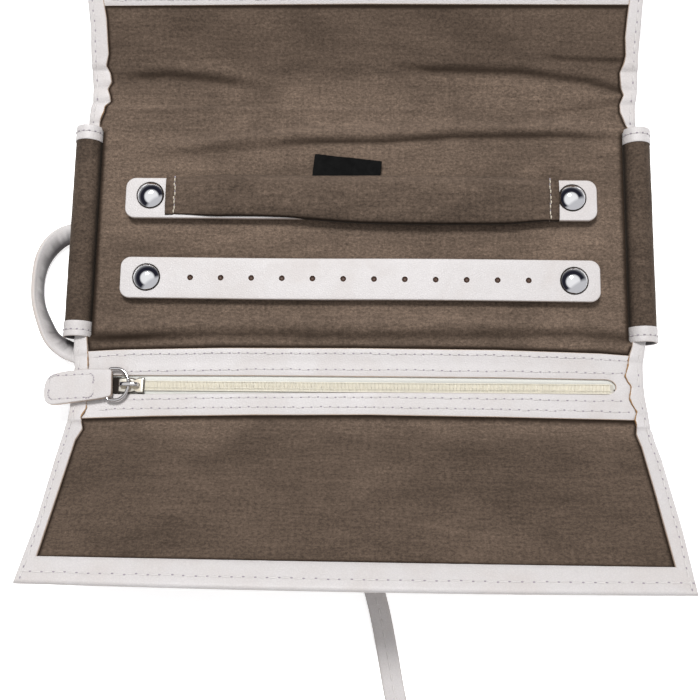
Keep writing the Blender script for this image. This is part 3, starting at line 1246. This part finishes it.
# ------------------------------------------------------------------ pull tabs
TAB_OUTLINE = [(0.6, 6.0), (3.5, 6.6), (8, 6.95), (14, 7.1), (22, 6.6), (26.5, 5.7), (28.9, 4.2),
               (30.3, 1.2), (30.6, -2.6), (30.2, -5.6), (28.6, -7.4), (25.5, -7.9), (15, -7.2),
               (6, -6.5), (2.0, -5.9), (0.7, -5.2), (0.4, -3.0), (0.4, 3.0)]
TAB_TILT, TAB_START = math.radians(-4.2), 107.45


def tab_crown(x, y):
    return 0.12 * bell(x - 3, 3.0) - 0.1 * bell(np.abs(y) - 5.2, 0.5) * (x > 8)


def pull_tab(tag, centre, sign):
    """A folded leather tab, from its ring end at x 0 to its free end at x 30."""
    def place(p):
        x, y = p[:, 0] * 0.985, p[:, 1] - 0.2
        x, y = (x * math.cos(TAB_TILT) - y * math.sin(TAB_TILT),
                x * math.sin(TAB_TILT) + y * math.cos(TAB_TILT))
        return case(sign * (TAB_START + x), centre + y, 1.7 + p[:, 2])
    tab = plate(f"{tag}_pull_tab_leather", curve_through(TAB_OUTLINE, 5, closed=True), -1.35, 1.35, 0.5,
                "leather_own", place=place, crown=tab_crown, step=1.2, raw_edge=0.42, inner=6)
    carry(tab, f"{tag}_tab", "cream_leather", f"{tag}_pull_tab")
    seam = refine(refine(rounded_outline(19.6, 10.4, 2.6, n=5, centre=(18.4, -0.35)), 2.9), 2.7)
    pts = place(raised(seam, 1.36))
    stitches(f"{tag}_tab_stitches", pts, place(raised(seam, 2.36)) - pts, onwards(pts), f"{tag}_tab",
             length=1.9, width=0.4, rise=0.12)


# ------------------------------------------------------------------ sliders and rings
SLIDER = [(94.5, 3.2), (94.5, -3.2), (97.0, -3.2), (98.3, -2.5), (99.4, -2.9), (101.5, -3.2),
          (105.0, -2.9), (105.4, -2.4), (105.4, 2.4), (105.0, 2.9), (101.5, 3.2), (99.4, 2.9),
          (98.3, 2.5), (97.0, 3.2)]
DECK = [(95.6, 2.6), (95.6, -2.6), (97.6, -2.6), (99.0, -1.5), (104.2, -1.9), (104.2, 1.9),
        (99.0, 1.5), (97.6, 2.6)]
WING = [(x + math.copysign(0.4, x - 100), y + math.copysign(0.4, y)) for x, y in SLIDER]
BAIL = [(96.2, -0.1), (96.5, 1.6), (97.4, 2.75), (99.4, 3.1), (102.6, 3.05), (104.2, 2.4),
        (104.9, 1.2), (105.0, -0.1)]
# Each plate's outline, bottom, top, edge radius, material, step and inner rings
SLIDER_PLATES = {
    "top": (SLIDER, -0.75, 0.12, 0.3, "nickel", 0.8, 3),
    "deck": (DECK, 0.0, 0.24, 0.1, "enamel", 0.8, 3),
    "bottom": (rounded_outline(11.2, 6.8, 1.2, centre=(100, 0)), -3.85, -3.15, 0.25, "nickel", 1.2, 4),
    "neck": (rounded_outline(2.2, 1.6, 0.5, centre=(95.9, 0)), -3.2, -0.7, 0.1, "nickel", 0.6, 4),
    "wing": (WING, -0.62, -0.36, 0.08, "dark_metal", 0.8, 3),
    "mouth": (rounded_outline(4.0, 7.4, 0.8, centre=(106.2, 0)), -0.62, -0.38, 0.08, "dark", 0.8, 4),
}
RING_BAR = [(108.2, 7.1), (109.2, 6.9), (109.6, 6.2), (109.6, 3), (109.6, 0), (109.6, -3),
            (109.6, -6.2), (109.2, -6.9), (108.2, -7.1)]


def slider_and_ring(tag, centre, sign):
    """The slider's plates, its bail, and the D-shaped ring that hangs in it."""
    def place(p):
        return case(sign * p[..., 0], centre - sign * p[..., 1], p[..., 2])
    made = [plate(f"{tag}_slider_{part}", *values, place=place, step=step, inner=inner)
            for part, (*values, step, inner) in SLIDER_PLATES.items()]
    path = curve_through(BAIL, 5)
    rings = []
    for (x, z), (dx, dz) in zip(path, unit(np.gradient(path, axis=0))):
        rings.append([(x - dz * thick, wide, z + dx * thick) for thick, wide in zip(
            0.42 * squarish(np.sin(turns(16)), 0.8), 0.92 * squarish(np.cos(turns(16)), 0.7))])
    made.append(sweep(f"{tag}_slider_bail", place(np.array(rings)), "steel"))
    for piece in made:
        carry(piece, f"{tag}_slider", "slider_enamel", f"{tag}_zip_slider")
    line = np.array([(106.2 - 5.55 * math.cos(a), 7.1 * math.sin(a))
                     for a in np.radians(np.linspace(-90, 90, 41))] + RING_BAR)
    rings = [[(x + dy * 0.72 * math.cos(a), y - dx * 0.72 * math.cos(a), 1.7 + 0.72 * math.sin(a))
              for a in turns(14)] for (x, y), (dx, dy) in zip(line, unit(onwards(line)))]
    ring = sweep(f"{tag}_ring_wire", place(np.array(rings)), "steel", closed=True)
    carry(ring, f"{tag}_ring", "chrome", f"{tag}_zip_ring")


slider_and_ring("front", FRONT_ZIP - 0.4, -1)
slider_and_ring("top", TOP_ZIP, 1)
pull_tab("front", FRONT_ZIP, -1)
pull_tab("top", TOP_ZIP, 1)


# ------------------------------------------------------------------ label and patch
def label_place(p):
    """The blank satin label: sewn under the ring bar, lifting a little at its free end."""
    a = math.radians(-6.6)
    x = p[:, 0] * math.cos(a) - p[:, 1] * math.sin(a) - 7.7
    y = p[:, 0] * math.sin(a) + p[:, 1] * math.cos(a) + 17.6
    t = p[:, 1] / 20
    z = (CREASE_Z - 0.55 + 1.9 * t ** 1.6 + 0.25 * np.sin(p[:, 0] / 7.0) * t
         + 0.12 * np.sin(p[:, 0] / 2.3 + 1) * t)
    return np.column_stack([x, y, z + p[:, 2]])


label = plate("care_label_satin", rounded_outline(31, 20, 0.6, n=4, centre=(0, 10)), -0.18, 0.18, 0.12,
              "satin", place=label_place, step=0.8, inner=14)
carry(label, "base", "satin", "care_label")

PATCH_LOW, PATCH_MIDDLE = 3.45, (-80, 4)
patch = plate("tie_anchor_leather", rounded_outline(22, 15.4, 2.0, centre=PATCH_MIDDLE), PATCH_LOW, 4.4,
              0.4, "leather_own", raw_edge=0.35)
carry(patch, "base", "cream_leather", "tie_anchor")
seam = raised(refine(rounded_outline(18.4, 11.8, 1.4, n=3, centre=PATCH_MIDDLE), 2.8), PATCH_LOW)
stitches("tie_anchor_stitches", seam, np.tile([0, 0, -1.0], (len(seam), 1)), onwards(seam), "base",
         length=2.0, width=0.45)


# ------------------------------------------------------------------ CAD solids that stay
KEPT = {"base_board": "board", "front_pocket_bag": "lining", "top_pocket_bag": "lining",
        "snap_studs": "chrome", "ring_bar_sockets": "chrome", "earring_strap_sockets": "chrome",
        "front_zip_stops": "nickel", "top_zip_stops": "nickel"}
for name, key in KEPT.items():
    mesh = nodes[name].data
    mesh.materials.clear()
    mesh.materials.append(M[key])
    if key in ("nickel", "chrome"):
        mesh.polygons.foreach_set("use_smooth", [True] * len(mesh.polygons))
        mesh.set_sharp_from_angle(angle=math.radians(40))


# ------------------------------------------------------------------ floor, light, world
corners = [(-3, -3, -0.0002), (3, -3, -0.0002), (3, 3, -0.0002), (-3, 3, -0.0002)]
floor_mesh = bpy.data.meshes.new("floor")
floor_mesh.from_pydata(corners, [], [(0, 1, 2, 3)])
white, tree, shader = material("floor_paper", (0.94,) * 3, 0.9, spec=0.05, Emission_Color=(1, 1, 1),
                               Emission_Strength=0.5)
put(tree, shader.inputs["Base Color"],
    ramp(tree, noise(tree, coordinates(tree, False), 40, 3), [(0.3, 0.935), (0.7, 0.955)]))
floor_mesh.materials.append(white)
link("floor", floor_mesh)

# The world is pale overhead and dark at the sides, where the metal mirrors it; in front
# it is grey
world = bpy.data.worlds.new("studio")
scene.world = world
world.use_nodes = True
tree = world.node_tree
x, y, z = add(tree, "SeparateXYZ", Vector=add(tree, "TexCoord").outputs["Generated"]).outputs
pale, dim, dark = (0.95, 0.95, 0.96), (0.12, 0.12, 0.13), (0.02, 0.02, 0.03)
heights = ramp(tree, z, [(0.0, (0.50, 0.50, 0.51)), (0.25, dim), (0.40, dark), (0.68, dark),
                         (0.80, pale), (1.0, 1.0)])
ahead = maths(tree, "ADD", maths(tree, "MULTIPLY", x, 0.55), maths(tree, "MULTIPLY", y, -0.75))
front = ramp(tree, ahead, [(0.18, 0.0), (0.42, 1.0)])
sky = tree.nodes["Background"].inputs
put(tree, sky["Strength"], 0.85)
put(tree, sky["Color"], mix(tree, front, heights, (0.62, 0.62, 0.64)))


def softbox(name, place, aim, size, power, seen=True):
    data = bpy.data.lights.new(name, "AREA")
    data.shape, data.size, data.energy = "DISK", size, power
    o = link(name, data)
    o.location = place
    o.rotation_mode = "QUATERNION"
    o.rotation_quaternion = (Vector(aim) - Vector(place)).to_track_quat("-Z", "Y")
    o.visible_glossy = seen


softbox("key", (-0.12, 0.50, 1.05), (0, 0, 0), 0.32, 13.5)
softbox("fill", (0.45, -0.65, 0.95), (0, -0.05, 0), 0.8, 2.5, seen=False)
